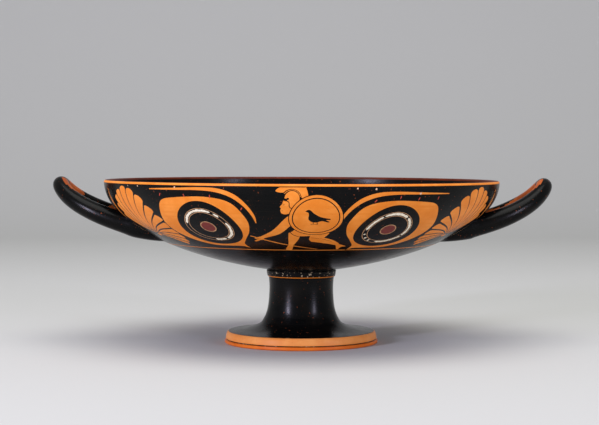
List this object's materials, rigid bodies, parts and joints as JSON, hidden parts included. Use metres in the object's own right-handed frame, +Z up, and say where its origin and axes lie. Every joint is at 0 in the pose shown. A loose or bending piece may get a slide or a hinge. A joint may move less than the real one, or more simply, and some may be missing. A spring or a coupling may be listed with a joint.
{
  "type": "greek kylix drinking cup",
  "caption": "Ancient Greek eye-cup: a broad shallow bowl on a stemmed foot, with looped side handles and red-figure painting on black gloss.",
  "frame": {"origin": "middle of the flat ring under the foot, on the surface that the cup stands on", "axes": "+Z up through the stem and bowl; +X through the tip of one handle, with the other at -X; -Y out of the front side, which carries the painted warrior"},
  "size_m": [0.4185, 0.33, 0.1395],
  "materials": {
    "gloss_and_clay": "Attic black gloss slip over orange fired clay, with figures left in the clay colour and touches of red and white"
  },
  "bodies": {
    "root": {"kylix": "gloss_and_clay"}
  },
  "joints": []
}
